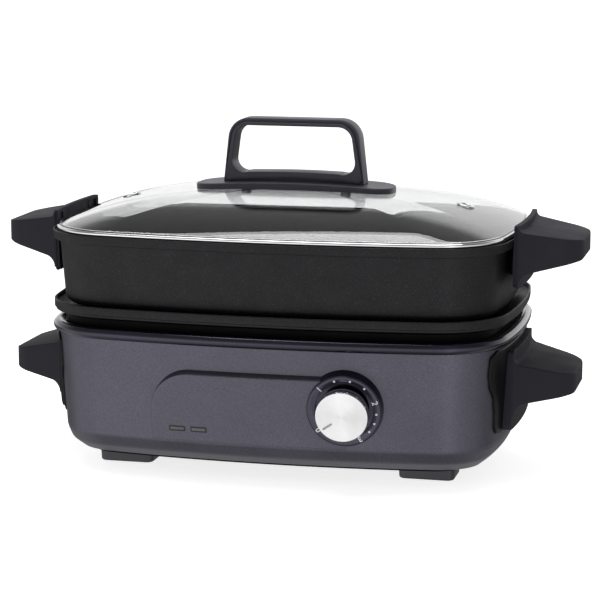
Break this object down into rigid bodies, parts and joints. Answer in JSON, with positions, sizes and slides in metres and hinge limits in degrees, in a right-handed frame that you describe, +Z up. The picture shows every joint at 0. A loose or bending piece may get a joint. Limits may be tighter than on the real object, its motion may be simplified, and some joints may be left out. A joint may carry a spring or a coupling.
{
  "type": "electric multi-cooker",
  "caption": "Electric multi-cooker: painted heated base with dial and side handles, ridged grill plate, deep two-handled non-stick pot and domed glass lid with loop grip.",
  "frame": {"origin": "on the table under the middle of the cooker, between the four feet", "axes": "+X along the length towards the handle on the right as seen from the front, +Z up, the dial faces -Y"},
  "size_m": [0.5264, 0.2965, 0.3066],
  "materials": {
    "housing_paint": "satin metallic paint",
    "rim_paint": "gloss metallic paint",
    "black_enamel": "black heat-proof enamel",
    "bright_sheet": "bright rolled sheet",
    "element_steel": "heat-darkened steel tube",
    "zinc_steel": "zinc-plated pressed steel",
    "screw_steel": "zinc-plated screws",
    "foot_plastic": "moulded plastic in the housing colour",
    "pad_rubber": "black rubber",
    "handle_black": "fine-textured black heat-resistant plastic",
    "handle_violet": "satin dark violet-grey heat-resistant plastic",
    "ceramic": "ceramic body and brass terminals",
    "nylon": "natural nylon",
    "board": "circuit board with two neon lamps",
    "lens": "clear grey lens",
    "wire": "insulated lead",
    "dial_gloss": "gloss dark violet with white marks",
    "knob_silver": "fine satin face",
    "knob_chrome": "polished",
    "nonstick": "dark non-stick coating with fine sparkle",
    "lid_glass": "clear toughened glass",
    "lid_steel": "polished steel",
    "washer": "grey silicone"
  },
  "bodies": {
    "base": {"base_shell": "housing_paint", "top_rim": "rim_paint", "heat_tray": "black_enamel", "reflector": "bright_sheet", "heating_element": "element_steel", "element_clips": "zinc_steel", "bottom_cover": "black_enamel", "cover_posts": "zinc_steel", "cover_screws": "screw_steel", "foot_front_left": "foot_plastic", "foot_front_right": "foot_plastic", "foot_rear_left": "foot_plastic", "foot_rear_right": "foot_plastic", "foot_pads": "pad_rubber", "base_handle_left": "handle_black", "base_handle_right": "handle_black", "base_handle_pad_left": "handle_black", "base_handle_pad_right": "handle_black", "base_handle_screws": "screw_steel", "thermostat": "ceramic", "thermal_fuse": "zinc_steel", "terminal_block": "nylon", "terminal_screws": "screw_steel", "lamp_board": "board", "lamp_lens_left": "lens", "lamp_lens_right": "lens", "wiring": "wire", "cable_gland": "handle_black", "dial_ring": "dial_gloss"},
    "knob": {"knob_cap": "knob_silver", "knob_skirt": "knob_chrome", "knob_shaft": "screw_steel"},
    "plate": {"grill_plate": "nonstick"},
    "pot": {"pot": "nonstick", "pot_handle_left": "handle_black", "pot_handle_right": "handle_black", "pot_handle_screws": "screw_steel"},
    "lid": {"lid_glass": "lid_glass", "lid_rim": "lid_steel", "vent_left": "lid_steel", "vent_right": "lid_steel", "lid_handle_plate": "handle_violet", "lid_handle_loop": "handle_violet", "lid_screws": "screw_steel", "lid_washers": "washer"}
  },
  "joints": [
    {"name": "knob_turn", "type": "hinge", "parent": "base", "child": "knob", "pos_m": [0.0743, -0.1334, 0.0712], "axis": [-0.0665, 0.9841, 0.1645], "range_deg": [0, 280]},
    {"name": "plate_lift", "type": "slide", "parent": "base", "child": "plate", "axis": [0, 0, 1], "range_m": [0, 0.06]},
    {"name": "pot_lift", "type": "slide", "parent": "plate", "child": "pot", "axis": [0, 0, 1], "range_m": [0, 0.08]},
    {"name": "lid_lift", "type": "slide", "parent": "pot", "child": "lid", "axis": [0, 0, 1], "range_m": [0, 0.1]}
  ]
}
